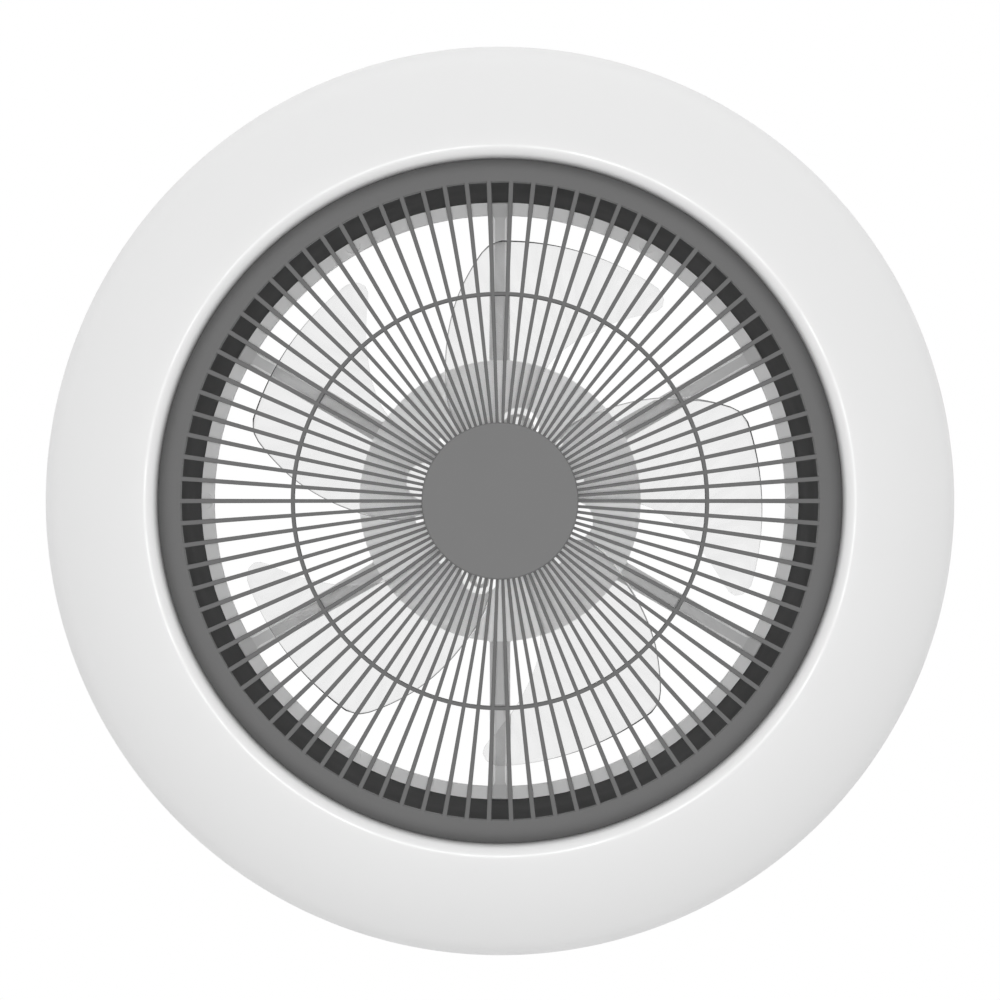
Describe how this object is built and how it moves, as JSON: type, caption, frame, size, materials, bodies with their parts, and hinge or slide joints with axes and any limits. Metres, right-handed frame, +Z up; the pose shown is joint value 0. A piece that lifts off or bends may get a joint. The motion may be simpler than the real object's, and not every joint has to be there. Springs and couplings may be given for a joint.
{
  "type": "ceiling fan",
  "caption": "Flush ceiling fan with an opal ring lamp round its air duct, a radial finger guard and clear swept blades on a hidden outer-rotor motor.",
  "frame": {"origin": "centre of the ceiling bracket's upper face, on the ceiling", "axes": "+Z up into the ceiling; +X and +Y along the ceiling; the fan hangs below Z = 0"},
  "size_m": [0.5, 0.5, 0.1665],
  "materials": {
    "frame_plastic": "satin, moulded",
    "duct_plastic": "matt",
    "grille_plastic": "satin",
    "opal": "opal, satin",
    "clear": "clear, polished",
    "white_steel": "white powder coat",
    "zinc_steel": "zinc plated",
    "screw_steel": "plated",
    "board": "solder mask",
    "white_board": "white solder mask",
    "led": "phosphor",
    "white_plastic": "moulded",
    "cast_alloy": "cast",
    "bell_steel": "drawn, plated",
    "lamination": "stacked laminations",
    "copper": "enamelled wire",
    "bearing_steel": "ground",
    "cage_brass": "machined",
    "spring_steel": "blackened",
    "magnet": "ferrite",
    "dark_plastic": "moulded",
    "lead_sleeve": "matt"
  },
  "bodies": {
    "fixed_frame": {"ceiling_bracket": "zinc_steel", "canopy": "white_steel", "canopy_screws": "screw_steel", "frame": "frame_plastic", "air_duct": "duct_plastic", "frame_screws": "screw_steel", "lamp_pan": "white_steel", "light_tray": "zinc_steel", "tray_screws": "screw_steel", "light_boards": "white_board", "light_sources": "led", "light_driver": "white_plastic", "driver_screws": "screw_steel", "diffuser": "opal", "grille": "grille_plastic", "hub_cap": "grille_plastic", "motor_base": "cast_alloy", "motor_screws": "screw_steel", "motor_board": "board", "stator_core": "lamination", "windings": "copper", "upper_bearing_outer": "bearing_steel", "lower_bearing_outer": "bearing_steel", "controller_case": "white_plastic", "controller_lid": "white_plastic", "controller_board": "board", "controller_screws": "screw_steel", "terminal_block": "white_plastic", "terminal_screw": "screw_steel", "supply_lead": "lead_sleeve", "motor_lead": "lead_sleeve", "lamp_lead": "lead_sleeve", "board_lead": "lead_sleeve", "pan_grommet": "lead_sleeve"},
    "rotor": {"shaft": "bearing_steel", "shaft_clip": "spring_steel", "rotor_bell": "bell_steel", "magnets": "magnet", "blade_wheel": "clear", "blade_screws": "screw_steel", "blade_nut": "dark_plastic", "upper_bearing_inner": "bearing_steel", "lower_bearing_inner": "bearing_steel"},
    "upper_ball_train": {"upper_bearing_balls": "bearing_steel", "upper_bearing_cage": "cage_brass"},
    "lower_ball_train": {"lower_bearing_balls": "bearing_steel", "lower_bearing_cage": "cage_brass"}
  },
  "joints": [
    {"name": "rotor_spin", "type": "hinge", "parent": "fixed_frame", "child": "rotor", "pos_m": [0, 0, -0.1], "axis": [0, 0, 1], "continuous": true},
    {"name": "upper_train_spin", "type": "hinge", "parent": "fixed_frame", "child": "upper_ball_train", "pos_m": [0, 0, -0.0735], "axis": [0, 0, 1], "continuous": true},
    {"name": "lower_train_spin", "type": "hinge", "parent": "fixed_frame", "child": "lower_ball_train", "pos_m": [0, 0, -0.0985], "axis": [0, 0, 1], "continuous": true}
  ],
  "couplings": [
    {"joint": "upper_train_spin", "follows": "rotor_spin", "ratio": 0.368},
    {"joint": "lower_train_spin", "follows": "rotor_spin", "ratio": 0.368}
  ]
}
